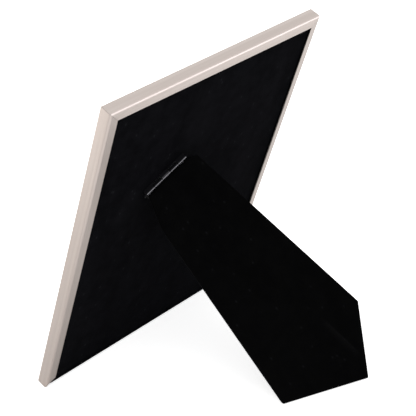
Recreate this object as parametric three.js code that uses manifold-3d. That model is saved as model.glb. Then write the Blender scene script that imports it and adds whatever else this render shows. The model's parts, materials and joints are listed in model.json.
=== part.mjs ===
import * as THREE from 'three';
import { mergeVertices } from 'three/addons/utils/BufferGeometryUtils.js';
import Module from 'manifold-3d';

// A slim metal picture frame for a 13 x 18 cm photo, standing on its hinged leg.
// All sizes are in millimetres and all angles in degrees.
// Everything is drawn as seen from behind: x to the right, y up, z out of the back,
// with y = 0 at the frame's bottom edge and z = 0 at its front face.
// The last lines lean the frame back and put it on the table.

// The photo that the frame is made for.
const PHOTO_WIDTH = 130;
const PHOTO_HEIGHT = 180;

// Rails, folded from thin sheet metal and mitred at the corners.
const WALL = 0.6;
const FRONT_LIP = 6;
const BACK_LIP = 4.85;
const BACK_LIP_RISE = 0.4;
const SHOULDER_RADIUS = 1.25;
const FRONT_RADIUS = 0.25;
const LIP_EDGE_RADIUS = 0.2;
const MITRE_GAP = 0.15;

// At the bottom the side rails' walls run on to the corner, and their back lips are cut back on a slant.
const LIP_CUT_START = 3.5;
const LIP_CUT_END = 6.7;

// Bent strips that join the rails inside the corners.
const ANGLE_THICKNESS = 0.6;
const ANGLE_ARM = 12;
const ANGLE_BEND_RADIUS = 1;
const ANGLE_GAP = 0.25;
const ANGLE_TO_GLASS = 0.3;

// The pack of flat sheets, from the front.
const GLASS_THICKNESS = 2;
const GLASS_OVERLAP = 0.25;
const PRINT_THICKNESS = 0.2;
const CARD_THICKNESS = 0.3;
const SHEET_GAP = 0.2;
const LOADING_ROOM = 1.7;

// The back panel, which slides in from below behind the bottom rail.
const LINING_THICKNESS = 0.15;
const BOARD_THICKNESS = 0.95;
const VELVET_THICKNESS = 0.3;
const GLUE_GAP = 0.15;
const PANEL_FRONT_GAP = 0.3;
const PANEL_BACK_GAP = 0.15;
const PANEL_EDGE_GAP = 0.5;
const PANEL_BOTTOM = 2;

// How the frame stands: upright on its bottom edge, or lying on its long edge.
const UPRIGHT_LEAN = 21.6;
const SIDEWAYS_LEAN = 12.4;

// The hinge line, measured from the frame's top left corner as seen from behind.
const HINGE_FROM_LEFT = 47.1;
const HINGE_FROM_TOP = 58.2;
const HINGE_SLOPE = 31.7;
const LEG_OPENING = 45.8;

// The leg: a board covered in velvet on both faces, with its edges covered too.
const LEG_LEFT_WIDTH = 16.1;
const LEG_RIGHT_WIDTH = 16.7;
const LEG_TAPER = 6.76;
const LEG_BOARD_THICKNESS = 1.5;
const LEG_TO_LIP = 0.25;
const LEG_TO_BARREL = 0.3;
const LEG_TOP_LEFT = 12.5;
const LEG_TOP_RIGHT = 13.8;
const LEG_LEFT_CLIP = 17;
const LEG_RIGHT_CLIP = 3.3;

// The hinge: two leaves rolled round a pin in turn.
const LEAF_THICKNESS = 0.4;
const BARREL_RADIUS = 0.95;
const PIN_RADIUS = 0.4;
const BARREL_LENGTH = 25.1;
const KNUCKLES = 5;
const KNUCKLE_GAP = 0.25;
const LEAF_GAP = 0.2;
const LEAF_SEAT_GAP = 0.15;
const BOARD_LEAF_LENGTH = 9;
const LEG_LEAF_LENGTH = 17;
const LEAF_CORNER_RADIUS = 2;
const AXIS_ABOVE_VELVET = 2;
const BOARD_CURL_END = 235;
const LEG_CURL_END = 165;
const PIN_END = 0.5;
const PIN_TAIL = 0.7;
const HEEL_WIDTH = 0.5;
const HEEL_GAP = 0.15;

// Rivets that hold the leaves.
const RIVET_RADIUS = 0.7;
const RIVET_HEAD_RADIUS = 1.5;
const RIVET_HEAD_THICKNESS = 0.2;
const RIVET_SHOULDER_RADIUS = 1.4;
const RIVET_CROWN_RADIUS = 0.9;
const RIVET_CROWN_HEIGHT = 0.3;
const RIVET_POCKET_DEPTH = 0.55;
const RIVET_HOLE_GAP = 0.2;
const RIVET_SEAT_GAP = 0.1;
const BOARD_RIVET_FROM_END = 2.55;
const BOARD_RIVET_DOWN = 5.4;
const LEG_RIVET_X = 4;
const LEG_RIVET_DOWN = 13;

// Steps in round shapes.
const BEND_STEPS = 6;
const ROUND_STEPS = 20;
const PIN_STEPS = 60;
const PIN_SECTION_STEPS = 5;

// How far a cutting shape reaches past what it cuts.
const CUT_PAST = 1;

// Places in depth, worked out from the front face backwards.
const glassFront = WALL + SHEET_GAP;
const printFront = glassFront + GLASS_THICKNESS + SHEET_GAP;
const cardFront = printFront + PRINT_THICKNESS + SHEET_GAP;
const packBack = cardFront + CARD_THICKNESS;
const panelFront = packBack + PANEL_FRONT_GAP;
const boardFront = panelFront + LINING_THICKNESS + GLUE_GAP;
const boardBack = boardFront + BOARD_THICKNESS;
const panelBack = boardBack + GLUE_GAP + VELVET_THICKNESS;
const railDepth = panelBack + PANEL_BACK_GAP + WALL;
const lipCrest = railDepth + BACK_LIP_RISE;

// Outside size of the frame, worked out from the photo.
const edgeRoom = WALL + ANGLE_GAP + ANGLE_THICKNESS + ANGLE_TO_GLASS + GLASS_OVERLAP;
const frameWidth = PHOTO_WIDTH + 2 * edgeRoom;
const frameHeight = PHOTO_HEIGHT + 2 * edgeRoom + LOADING_ROOM;

// Back panel outline.
const panelHalfWidth = frameWidth / 2 - WALL - PANEL_EDGE_GAP;
const panelTop = frameHeight - WALL - PANEL_EDGE_GAP;

// Heights in the hinge's own frame, measured from its axis: negative is towards the board.
const boreRadius = BARREL_RADIUS - LEAF_THICKNESS;
const boardRivetX = BARREL_LENGTH / 2 - BOARD_RIVET_FROM_END;
const velvetLevel = -AXIS_ABOVE_VELVET;
const boardLeafBottom = velvetLevel + LEAF_SEAT_GAP;
const boardLeafTop = boardLeafBottom + LEAF_THICKNESS;
const legLeafBottom = boardLeafTop + LEAF_GAP;
const legLeafTop = legLeafBottom + LEAF_THICKNESS;
const legInner = lipCrest + LEG_TO_LIP - (panelBack - velvetLevel);
const legVelvetTop = legInner + VELVET_THICKNESS;
const legBoardInner = legVelvetTop + GLUE_GAP;
const legBoardOuter = legBoardInner + LEG_BOARD_THICKNESS;
const legOuter = legBoardOuter + GLUE_GAP + VELVET_THICKNESS;

const hingeCentre = new THREE.Vector3(
  HINGE_FROM_LEFT - frameWidth / 2,
  frameHeight - HINGE_FROM_TOP,
  panelBack - velvetLevel,
);

const radians = THREE.MathUtils.degToRad;
const hingeTurn = new THREE.Euler(0, 0, radians(HINGE_SLOPE), 'ZYX');
const legTurn = new THREE.Euler(radians(-LEG_OPENING), 0, radians(HINGE_SLOPE), 'ZYX');

const wasm = await Module();
wasm.setup();

function makeSolid(geometry) {
  const bare = geometry.clone();
  bare.deleteAttribute('normal');
  bare.deleteAttribute('uv');
  const merged = mergeVertices(bare, 1e-5);
  const mesh = new wasm.Mesh({
    numProp: 3,
    vertProperties: new Float32Array(merged.attributes.position.array),
    triVerts: new Uint32Array(merged.index.array),
  });
  return new wasm.Manifold(mesh);
}

function makeGeometry(solid) {
  const mesh = solid.getMesh();
  const geometry = new THREE.BufferGeometry();
  geometry.setAttribute('position', new THREE.BufferAttribute(mesh.vertProperties, 3));
  geometry.setIndex(new THREE.BufferAttribute(mesh.triVerts, 1));
  geometry.computeVertexNormals();
  return geometry;
}

function join(first, ...others) {
  return makeGeometry(others.reduce((whole, piece) => whole.add(makeSolid(piece)), makeSolid(first)));
}

function cut(first, ...others) {
  return makeGeometry(others.reduce((whole, piece) => whole.subtract(makeSolid(piece)), makeSolid(first)));
}

// A flat shape given a thickness, between two places along z.
function plate(shape, bottom, top) {
  const settings = { depth: top - bottom, bevelEnabled: false, curveSegments: BEND_STEPS };
  return new THREE.ExtrudeGeometry(shape, settings).translate(0, 0, bottom);
}

// A section drawn in y and z, run along x between two places.
function runAlongX(section, start, end) {
  const settings = { depth: end - start, bevelEnabled: false, curveSegments: BEND_STEPS };
  const axes = new THREE.Matrix4().makeBasis(
    new THREE.Vector3(0, 1, 0),
    new THREE.Vector3(0, 0, 1),
    new THREE.Vector3(1, 0, 0),
  );
  return new THREE.ExtrudeGeometry(section, settings).applyMatrix4(axes).translate(start, 0, 0);
}

function rectangle(left, bottom, right, top) {
  const shape = new THREE.Shape();
  shape.moveTo(left, bottom);
  shape.lineTo(right, bottom);
  shape.lineTo(right, top);
  shape.lineTo(left, top);
  shape.closePath();
  return shape;
}

function roundHole(x, y, radius) {
  const hole = new THREE.Path();
  hole.absarc(x, y, radius, 0, 2 * Math.PI, true);
  return hole;
}

function withHoles(shape, places, radius) {
  places.forEach(([x, y]) => shape.holes.push(roundHole(x, y, radius)));
  return shape;
}

// A place in the hinge's frame, seen in the frame's own x and y.
function fromHinge(x, y) {
  const place = new THREE.Vector3(x, y, 0).applyEuler(hingeTurn).add(hingeCentre);
  return [place.x, place.y];
}

function material(color, roughness, metalness, extra = {}) {
  return new THREE.MeshStandardMaterial({ color, roughness, metalness, ...extra });
}

const champagneMetal = material(0xcfc5bc, 0.38, 0.9);
const zincSteel = material(0x8f8f94, 0.35, 0.9);
const blackenedSteel = material(0x2b2b2e, 0.45, 0.7);
const blackVelvet = material(0x0b0b0d, 0.95, 0);
const greyBoard = material(0x8c8578, 0.9, 0);
const blackPaper = material(0x19191b, 0.85, 0);
const whitePaper = material(0xe9e6df, 0.7, 0);
const clearGlass = material(0xdfe9e6, 0.05, 0, { transparent: true, opacity: 0.35 });

function named(name, geometry, finish) {
  const mesh = new THREE.Mesh(geometry, finish);
  mesh.name = name;
  return mesh;
}

// Rail sections are drawn with x inward from the outer edge and y backward from the front face.
function frontFold(section) {
  section.moveTo(FRONT_LIP - LIP_EDGE_RADIUS, WALL);
  section.lineTo(WALL, WALL);
}

function frontCorner(section) {
  section.lineTo(0, FRONT_RADIUS);
  section.absarc(FRONT_RADIUS, FRONT_RADIUS, FRONT_RADIUS, Math.PI, 1.5 * Math.PI, false);
  const edgeX = FRONT_LIP - LIP_EDGE_RADIUS;
  section.lineTo(edgeX, 0);
  section.absarc(edgeX, LIP_EDGE_RADIUS, LIP_EDGE_RADIUS, 1.5 * Math.PI, 2 * Math.PI, false);
  section.lineTo(FRONT_LIP, WALL - LIP_EDGE_RADIUS);
  section.closePath();
}

// The side and top rails are channels: front lip, outer wall, rounded shoulder and back lip.
function channelSection() {
  const slope = Math.atan2(BACK_LIP_RISE, BACK_LIP - SHOULDER_RADIUS);
  const centreX = SHOULDER_RADIUS;
  const centreY = railDepth - SHOULDER_RADIUS;
  const lipAngle = Math.PI / 2 + slope;
  const innerRadius = SHOULDER_RADIUS - WALL;
  const section = new THREE.Shape();
  frontFold(section);
  section.lineTo(WALL, centreY);
  section.absarc(centreX, centreY, innerRadius, Math.PI, lipAngle, true);
  section.lineTo(BACK_LIP, lipCrest - WALL);
  section.lineTo(BACK_LIP, lipCrest - LIP_EDGE_RADIUS);
  section.lineTo(BACK_LIP - LIP_EDGE_RADIUS, lipCrest);
  const outerX = centreX + SHOULDER_RADIUS * Math.cos(lipAngle);
  const outerY = centreY + SHOULDER_RADIUS * Math.sin(lipAngle);
  section.lineTo(outerX, outerY);
  section.absarc(centreX, centreY, SHOULDER_RADIUS, lipAngle, Math.PI, false);
  frontCorner(section);
  return section;
}

// The bottom rail is an angle: it holds the glass and the photo, and lets the back panel past.
function angleSection() {
  const section = new THREE.Shape();
  frontFold(section);
  section.lineTo(WALL, packBack);
  section.lineTo(0, packBack);
  frontCorner(section);
  return section;
}

// How far from the corner a rail's end lies at a place of its section.
function mitre(inward) {
  return inward + MITRE_GAP;
}

function slantedCut(inward, backward) {
  if (backward < railDepth - SHOULDER_RADIUS) {
    return mitre(inward);
  }
  const onShoulder = Math.min(inward / SHOULDER_RADIUS, 1);
  const onLip = Math.max((inward - SHOULDER_RADIUS) / (BACK_LIP - SHOULDER_RADIUS), 0);
  return MITRE_GAP + onShoulder * (LIP_CUT_START - MITRE_GAP) + onLip * (LIP_CUT_END - LIP_CUT_START);
}

// A rail runs along x from a corner of the frame, with both ends cut to meet their neighbours.
function mitredRail(section, length, nearCut, farCut) {
  const settings = { depth: 1, bevelEnabled: false, curveSegments: BEND_STEPS };
  const geometry = new THREE.ExtrudeGeometry(section, settings);
  const points = geometry.attributes.position;
  for (let i = 0; i < points.count; i += 1) {
    const inward = points.getX(i);
    const backward = points.getY(i);
    const isFar = points.getZ(i) > 0.5;
    const along = isFar ? length - farCut(inward, backward) : nearCut(inward, backward);
    points.setXYZ(i, along, inward, backward);
  }
  geometry.computeVertexNormals();
  return geometry;
}

// The four corners in turn, each with the quarter turn that brings the bottom edge to its side.
const cornerPlaces = [
  { x: -frameWidth / 2, y: 0, turn: 0, rail: 'bottom_rail', angle: 'corner_angle_bottom_right' },
  { x: frameWidth / 2, y: 0, turn: 1, rail: 'left_rail', angle: 'corner_angle_bottom_left' },
  { x: frameWidth / 2, y: frameHeight, turn: 2, rail: 'top_rail', angle: 'corner_angle_top_left' },
  { x: -frameWidth / 2, y: frameHeight, turn: 3, rail: 'right_rail', angle: 'corner_angle_top_right' },
];

function placeAtCorner(mesh, corner) {
  mesh.position.set(corner.x, corner.y, 0);
  mesh.rotation.z = corner.turn * Math.PI / 2;
  return mesh;
}

function makeRails() {
  return cornerPlaces.map((corner) => {
    const length = corner.turn % 2 === 0 ? frameWidth : frameHeight;
    const section = corner.turn === 0 ? angleSection() : channelSection();
    const nearCut = corner.turn === 1 ? slantedCut : mitre;
    const farCut = corner.turn === 3 ? slantedCut : mitre;
    const rail = mitredRail(section, length, nearCut, farCut);
    return placeAtCorner(named(corner.rail, rail, champagneMetal), corner);
  });
}

// A strip bent round the inside of a corner, against the walls of both rails.
function cornerAngleShape() {
  const outer = WALL + ANGLE_GAP;
  const inner = outer + ANGLE_THICKNESS;
  const end = outer + ANGLE_ARM;
  const bend = outer + ANGLE_BEND_RADIUS;
  const shape = new THREE.Shape();
  shape.moveTo(bend, outer);
  shape.lineTo(end, outer);
  shape.lineTo(end, inner);
  shape.lineTo(bend, inner);
  shape.absarc(bend, bend, ANGLE_BEND_RADIUS - ANGLE_THICKNESS, 1.5 * Math.PI, Math.PI, true);
  shape.lineTo(inner, end);
  shape.lineTo(outer, end);
  shape.lineTo(outer, bend);
  shape.absarc(bend, bend, ANGLE_BEND_RADIUS, Math.PI, 1.5 * Math.PI, false);
  return shape;
}

function makeCornerAngles() {
  return cornerPlaces.map((corner) => {
    const strip = plate(cornerAngleShape(), glassFront, packBack);
    return placeAtCorner(named(corner.angle, strip, zincSteel), corner);
  });
}

// A sheet of the pack, which rests on the bottom corner angles.
function packSheet(name, width, height, front, thickness, finish) {
  const middle = edgeRoom + PHOTO_HEIGHT / 2;
  const shape = rectangle(-width / 2, middle - height / 2, width / 2, middle + height / 2);
  return named(name, plate(shape, front, front + thickness), finish);
}

function makePack() {
  const glassWidth = PHOTO_WIDTH + 2 * GLASS_OVERLAP;
  const glassHeight = PHOTO_HEIGHT + 2 * GLASS_OVERLAP;
  return [
    packSheet('glass_pane', glassWidth, glassHeight, glassFront, GLASS_THICKNESS, clearGlass),
    packSheet('photo_insert', PHOTO_WIDTH, PHOTO_HEIGHT, printFront, PRINT_THICKNESS, whitePaper),
    packSheet('filler_card', PHOTO_WIDTH, PHOTO_HEIGHT, cardFront, CARD_THICKNESS, greyBoard),
  ];
}

// The back panel: board, velvet over its back and turned round its bottom edge, lining in front.
function makePanel() {
  const rivets = [-boardRivetX, boardRivetX].map((x) => fromHinge(x, -BOARD_RIVET_DOWN));
  const shankHole = RIVET_RADIUS + RIVET_HOLE_GAP;
  const headHole = RIVET_HEAD_RADIUS + RIVET_HOLE_GAP;
  const boardBottom = PANEL_BOTTOM + VELVET_THICKNESS + GLUE_GAP;
  const boardShape = () => rectangle(-panelHalfWidth, boardBottom, panelHalfWidth, panelTop);
  const velvetShape = rectangle(-panelHalfWidth, PANEL_BOTTOM, panelHalfWidth, panelTop);
  const hemShape = rectangle(-panelHalfWidth, PANEL_BOTTOM, panelHalfWidth, PANEL_BOTTOM + VELVET_THICKNESS);
  const velvetFront = panelBack - VELVET_THICKNESS;
  const velvetSheet = plate(withHoles(velvetShape, rivets, shankHole), velvetFront, panelBack);
  const velvetHem = plate(hemShape, panelFront, panelBack - VELVET_THICKNESS / 2);
  const board = plate(withHoles(boardShape(), rivets, shankHole), boardFront, boardBack);
  const lining = plate(withHoles(boardShape(), rivets, headHole), panelFront, panelFront + LINING_THICKNESS);
  return [
    named('panel_board', board, greyBoard),
    named('panel_velvet', join(velvetSheet, velvetHem), blackVelvet),
    named('panel_lining', lining, blackPaper),
  ];
}

// A leaf's plate: square at the barrel, rounded at its far corners.
function leafPlateShape(halfWidth, top, bottom) {
  const shape = new THREE.Shape();
  shape.moveTo(-halfWidth, top);
  shape.lineTo(-halfWidth, bottom + LEAF_CORNER_RADIUS);
  shape.absarc(
    -halfWidth + LEAF_CORNER_RADIUS, bottom + LEAF_CORNER_RADIUS, LEAF_CORNER_RADIUS,
    Math.PI, 1.5 * Math.PI, false,
  );
  shape.absarc(
    halfWidth - LEAF_CORNER_RADIUS, bottom + LEAF_CORNER_RADIUS, LEAF_CORNER_RADIUS,
    1.5 * Math.PI, 2 * Math.PI, false,
  );
  shape.lineTo(halfWidth, top);
  shape.closePath();
  return shape;
}

// Knuckles share the barrel's length evenly, and the board leaf has the first and the last.
const knucklePitch = BARREL_LENGTH / KNUCKLES;
const knuckleSpans = Array.from({ length: KNUCKLES }, (_, i) => ({
  start: -BARREL_LENGTH / 2 + i * knucklePitch + (i === 0 ? 0 : KNUCKLE_GAP / 2),
  end: -BARREL_LENGTH / 2 + (i + 1) * knucklePitch - (i === KNUCKLES - 1 ? 0 : KNUCKLE_GAP / 2),
  onBoard: i % 2 === 0,
}));

// The board leaf rises at the barrel's upper side and rolls over the pin.
function boardKnuckleSection() {
  const end = radians(BOARD_CURL_END);
  const section = new THREE.Shape();
  section.moveTo(boreRadius, boardLeafBottom);
  section.lineTo(BARREL_RADIUS, boardLeafBottom);
  section.lineTo(BARREL_RADIUS, 0);
  section.absarc(0, 0, BARREL_RADIUS, 0, end, false);
  section.lineTo(boreRadius * Math.cos(end), boreRadius * Math.sin(end));
  section.absarc(0, 0, boreRadius, end, 0, true);
  section.closePath();
  return section;
}

function makeBoardLeaf() {
  const shape = leafPlateShape(BARREL_LENGTH / 2, BARREL_RADIUS, -BOARD_LEAF_LENGTH);
  const rivets = [[-boardRivetX, -BOARD_RIVET_DOWN], [boardRivetX, -BOARD_RIVET_DOWN]];
  withHoles(shape, rivets, RIVET_RADIUS + RIVET_HOLE_GAP);
  const knuckles = knuckleSpans
    .filter((span) => span.onBoard)
    .map((span) => runAlongX(boardKnuckleSection(), span.start, span.end));
  const leaf = plate(shape, boardLeafBottom, boardLeafTop);
  return named('hinge_board_leaf', join(leaf, ...knuckles), blackenedSteel);
}

// The leg leaf steps up from its plate, rolls round the pin and ends beside the leg.
function legKnuckleSection() {
  const end = radians(LEG_CURL_END);
  const stepEnd = -(BARREL_RADIUS + LEAF_THICKNESS / 2);
  const section = new THREE.Shape();
  section.moveTo(0, -BARREL_RADIUS);
  section.absarc(0, 0, BARREL_RADIUS, -Math.PI / 2, end, false);
  section.lineTo(boreRadius * Math.cos(end), boreRadius * Math.sin(end));
  section.absarc(0, 0, boreRadius, end, -Math.PI / 2, true);
  section.lineTo(stepEnd + LEAF_THICKNESS / 2, legLeafTop);
  section.lineTo(stepEnd, legLeafTop);
  section.lineTo(stepEnd, legLeafBottom);
  section.lineTo(stepEnd + LEAF_THICKNESS, legLeafBottom);
  section.closePath();
  return section;
}

// A heel on each leg knuckle meets the board leaf and stops the leg when it is open.
function heelSection() {
  const reach = -boardLeafTop - HEEL_GAP;
  const angle = radians(LEG_OPENING) - Math.PI / 2;
  const along = new THREE.Vector2(Math.cos(angle), Math.sin(angle));
  const across = new THREE.Vector2(-along.y, along.x).multiplyScalar(HEEL_WIDTH / 2);
  const root = (boreRadius + BARREL_RADIUS) / 2;
  const corners = [[root, -1], [reach, -1], [reach, 1], [root, 1]];
  return new THREE.Shape(corners.map(([out, side]) => (
    along.clone().multiplyScalar(out).addScaledVector(across, side)
  )));
}

function makeLegLeaf() {
  const spans = knuckleSpans.filter((span) => !span.onBoard);
  const halfWidth = spans[spans.length - 1].end;
  const plateTop = -(BARREL_RADIUS + LEAF_THICKNESS / 4);
  const shape = leafPlateShape(halfWidth, plateTop, -LEG_LEAF_LENGTH);
  const rivets = [[-LEG_RIVET_X, -LEG_RIVET_DOWN], [LEG_RIVET_X, -LEG_RIVET_DOWN]];
  withHoles(shape, rivets, RIVET_RADIUS + RIVET_HOLE_GAP);
  const knuckles = spans.map((span) => runAlongX(legKnuckleSection(), span.start, span.end));
  const heels = spans.map((span) => runAlongX(heelSection(), span.start, span.end));
  const leaf = plate(shape, legLeafBottom, legLeafTop);
  return named('hinge_leg_leaf', join(leaf, ...knuckles, ...heels), blackenedSteel);
}

// The pin runs through the knuckles and is bent over at one end.
function makePin() {
  const end = BARREL_LENGTH / 2 + PIN_END;
  const bend = 2 * PIN_RADIUS;
  const path = new THREE.CurvePath();
  path.add(new THREE.LineCurve3(new THREE.Vector3(end, 0, 0), new THREE.Vector3(-end, 0, 0)));
  path.add(new THREE.QuadraticBezierCurve3(
    new THREE.Vector3(-end, 0, 0),
    new THREE.Vector3(-end - bend, 0, 0),
    new THREE.Vector3(-end - bend, -bend, 0),
  ));
  path.add(new THREE.LineCurve3(
    new THREE.Vector3(-end - bend, -bend, 0),
    new THREE.Vector3(-end - bend, -bend - PIN_TAIL, 0),
  ));
  const section = new THREE.Shape().absarc(0, 0, PIN_RADIUS, 0, 2 * Math.PI, false);
  const settings = { steps: PIN_STEPS, extrudePath: path, curveSegments: PIN_SECTION_STEPS };
  return named('hinge_pin', new THREE.ExtrudeGeometry(section, settings), blackenedSteel);
}

// A rivet stands along z: a flat head below, the shank, and the closed head above.
function makeRivet(name, x, y, bottom, closedHeadBase) {
  const headTop = bottom + RIVET_HEAD_THICKNESS;
  const crown = closedHeadBase + RIVET_CROWN_HEIGHT;
  const profile = [
    [0, bottom], [RIVET_HEAD_RADIUS, bottom], [RIVET_HEAD_RADIUS, headTop], [RIVET_RADIUS, headTop],
    [RIVET_RADIUS, closedHeadBase], [RIVET_HEAD_RADIUS, closedHeadBase],
    [RIVET_SHOULDER_RADIUS, closedHeadBase + RIVET_HEAD_THICKNESS],
    [RIVET_CROWN_RADIUS, crown], [0, crown],
  ].map(([radius, height]) => new THREE.Vector2(radius, height));
  const geometry = new THREE.LatheGeometry(profile, ROUND_STEPS).rotateX(Math.PI / 2);
  const mesh = named(name, geometry, zincSteel);
  mesh.position.set(x, y, 0);
  return mesh;
}

function makeBoardRivets() {
  const bottom = panelFront - hingeCentre.z;
  const closedHead = boardLeafTop + RIVET_SEAT_GAP;
  return [
    makeRivet('board_rivet_right', -boardRivetX, -BOARD_RIVET_DOWN, bottom, closedHead),
    makeRivet('board_rivet_left', boardRivetX, -BOARD_RIVET_DOWN, bottom, closedHead),
  ];
}

// The closed heads of the leg's rivets lie in pockets in its board, under the outer velvet.
const legPocketFloor = legBoardOuter - RIVET_POCKET_DEPTH;

function makeLegRivets() {
  const bottom = legLeafBottom - RIVET_SEAT_GAP - RIVET_HEAD_THICKNESS;
  const closedHead = legPocketFloor + RIVET_SEAT_GAP;
  return [
    makeRivet('leg_rivet_right', -LEG_RIVET_X, -LEG_RIVET_DOWN, bottom, closedHead),
    makeRivet('leg_rivet_left', LEG_RIVET_X, -LEG_RIVET_DOWN, bottom, closedHead),
  ];
}

// The lowest place of a side rail when the frame leans, along the table's upward direction.
// Each place of its section lies as far from the frame's middle or bottom as reach says.
function lowestOfRail(lean, reach) {
  const levels = channelSection().getPoints(BEND_STEPS).map((point) => (
    reach(point.x, point.y) * Math.cos(radians(lean)) - point.y * Math.sin(radians(lean))
  ));
  return Math.min(...levels);
}

// Where a table cuts the leg's inner face, as a line a x + b y = c in the leg's own x and y.
function tableLine(up, level) {
  const alongHinge = new THREE.Vector3(1, 0, 0).applyEuler(legTurn);
  const upLeg = new THREE.Vector3(0, 1, 0).applyEuler(legTurn);
  const outward = new THREE.Vector3(0, 0, 1).applyEuler(legTurn);
  return {
    a: alongHinge.dot(up),
    b: upLeg.dot(up),
    c: level - hingeCentre.dot(up) - legInner * outward.dot(up),
  };
}

function crossing(first, second) {
  const scale = first.a * second.b - second.a * first.b;
  return new THREE.Vector2(
    (first.c * second.b - second.c * first.b) / scale,
    (first.a * second.c - second.a * first.c) / scale,
  );
}

// The leg widens downwards from the hinge and is cut to stand on the table both ways up.
function legOutline() {
  const upright = radians(UPRIGHT_LEAN);
  const sideways = radians(SIDEWAYS_LEAN);
  const uprightLevel = lowestOfRail(UPRIGHT_LEAN, slantedCut);
  const sidewaysLevel = lowestOfRail(SIDEWAYS_LEAN, (inward) => inward - frameWidth / 2);
  const foot = tableLine(new THREE.Vector3(0, Math.cos(upright), -Math.sin(upright)), uprightLevel);
  const side = tableLine(new THREE.Vector3(-Math.cos(sideways), 0, -Math.sin(sideways)), sidewaysLevel);
  const taper = Math.tan(radians(LEG_TAPER));
  const leftEdge = { a: -1, b: taper, c: LEG_LEFT_WIDTH };
  const rightEdge = { a: 1, b: taper, c: LEG_RIGHT_WIDTH };
  const top = -(BARREL_RADIUS + LEG_TO_BARREL);
  return [
    new THREE.Vector2(-LEG_TOP_LEFT, top),
    new THREE.Vector2(-LEG_LEFT_WIDTH - taper * LEG_LEFT_CLIP, -LEG_LEFT_CLIP),
    crossing(leftEdge, foot),
    crossing(foot, side),
    crossing(rightEdge, side),
    new THREE.Vector2(LEG_RIGHT_WIDTH + taper * LEG_RIGHT_CLIP, -LEG_RIGHT_CLIP),
    new THREE.Vector2(LEG_TOP_RIGHT, top),
  ];
}

// The same outline drawn further in, with every edge moved by the same distance.
function inset(points, distance) {
  const edges = points.map((point, i) => {
    const next = points[(i + 1) % points.length];
    const direction = next.clone().sub(point).normalize();
    return { a: -direction.y, b: direction.x, c: point.cross(direction) * -1 + distance };
  });
  return edges.map((edge, i) => crossing(edges[(i + points.length - 1) % points.length], edge));
}

function makeLeg() {
  const outline = legOutline();
  const coverEdge = VELVET_THICKNESS + GLUE_GAP;
  const rivets = [[-LEG_RIVET_X, -LEG_RIVET_DOWN], [LEG_RIVET_X, -LEG_RIVET_DOWN]];
  const shankHole = RIVET_RADIUS + RIVET_HOLE_GAP;
  const boardShape = () => new THREE.Shape(inset(outline, coverEdge));
  const block = plate(new THREE.Shape(outline), legInner, legOuter);
  const hollowShape = new THREE.Shape(inset(outline, VELVET_THICKNESS));
  const hollow = plate(hollowShape, legInner - CUT_PAST, legOuter - VELVET_THICKNESS);
  const pockets = rivets.map(([x, y]) => plate(
    new THREE.Shape().absarc(x, y, RIVET_HEAD_RADIUS + RIVET_HOLE_GAP, 0, 2 * Math.PI, false),
    legPocketFloor, legBoardOuter + CUT_PAST,
  ));
  const board = plate(withHoles(boardShape(), rivets, shankHole), legBoardInner, legBoardOuter);
  const innerVelvet = plate(withHoles(boardShape(), rivets, shankHole), legInner, legVelvetTop);
  return [
    named('leg_board', cut(board, ...pockets), greyBoard),
    named('leg_velvet_outer', cut(block, hollow), blackVelvet),
    named('leg_velvet_inner', innerVelvet, blackVelvet),
  ];
}

// The hinge's fixed half and its pin stay with the panel. The leg and its leaf turn on the pin.
const fixedHinge = new THREE.Group();
fixedHinge.position.copy(hingeCentre);
fixedHinge.rotation.copy(hingeTurn);
fixedHinge.add(makeBoardLeaf(), makePin(), ...makeBoardRivets());

const leg = new THREE.Group();
leg.position.copy(hingeCentre);
leg.rotation.copy(legTurn);
leg.add(...makeLeg(), makeLegLeaf(), ...makeLegRivets());

const frame = new THREE.Group();
frame.add(...makeRails(), ...makeCornerAngles(), ...makePack(), ...makePanel(), fixedHinge, leg);

// Turn the drawing to face the front along -Y with its top along +Z, then lean it back.
frame.rotation.set(Math.PI / 2, 0, Math.PI, 'ZYX');
const leaning = new THREE.Group();
leaning.rotation.x = radians(-UPRIGHT_LEAN);
leaning.add(frame);

// The origin is under the middle of the whole frame, on the table.
const model = new THREE.Group();
model.add(leaning);
model.updateMatrixWorld(true);
const box = new THREE.Box3().setFromObject(model, true);
const middle = box.getCenter(new THREE.Vector3());
leaning.position.set(-middle.x, -middle.y, -box.min.z);

export default model;
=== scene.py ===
import json
import math

import bmesh
import bpy
from mathutils import Matrix, Vector, noise


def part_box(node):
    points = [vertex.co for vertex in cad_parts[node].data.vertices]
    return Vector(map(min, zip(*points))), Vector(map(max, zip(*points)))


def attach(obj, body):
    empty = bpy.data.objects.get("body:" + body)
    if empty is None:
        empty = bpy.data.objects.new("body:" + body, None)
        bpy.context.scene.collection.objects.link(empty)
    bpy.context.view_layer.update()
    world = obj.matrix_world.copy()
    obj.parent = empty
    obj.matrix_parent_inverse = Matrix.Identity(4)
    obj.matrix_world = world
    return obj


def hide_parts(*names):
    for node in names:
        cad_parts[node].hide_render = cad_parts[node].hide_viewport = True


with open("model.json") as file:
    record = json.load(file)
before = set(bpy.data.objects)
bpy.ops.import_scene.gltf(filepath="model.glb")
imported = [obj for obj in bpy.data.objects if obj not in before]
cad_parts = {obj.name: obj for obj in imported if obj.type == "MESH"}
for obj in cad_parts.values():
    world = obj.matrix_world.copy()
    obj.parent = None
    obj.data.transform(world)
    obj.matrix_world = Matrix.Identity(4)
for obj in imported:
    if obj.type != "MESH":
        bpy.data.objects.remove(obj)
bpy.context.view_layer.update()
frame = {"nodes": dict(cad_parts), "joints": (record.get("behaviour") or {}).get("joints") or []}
nodes = frame["nodes"]

MM = 0.001

# Places that the velvet shares with the model, in millimetres: up from the frame's bottom edge,
# sideways from its middle, and back from its front face.
GLASS_MIDDLE = 92.0
GLASS_FRONT = 0.8
PANEL_HALF_WIDTH = 65.9
PANEL_BOTTOM = 2.0
PANEL_TOP = 184.6
PANEL_FRONT = 4.0
PANEL_BACK = 5.7
VELVET_THICKNESS = 0.3

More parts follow.
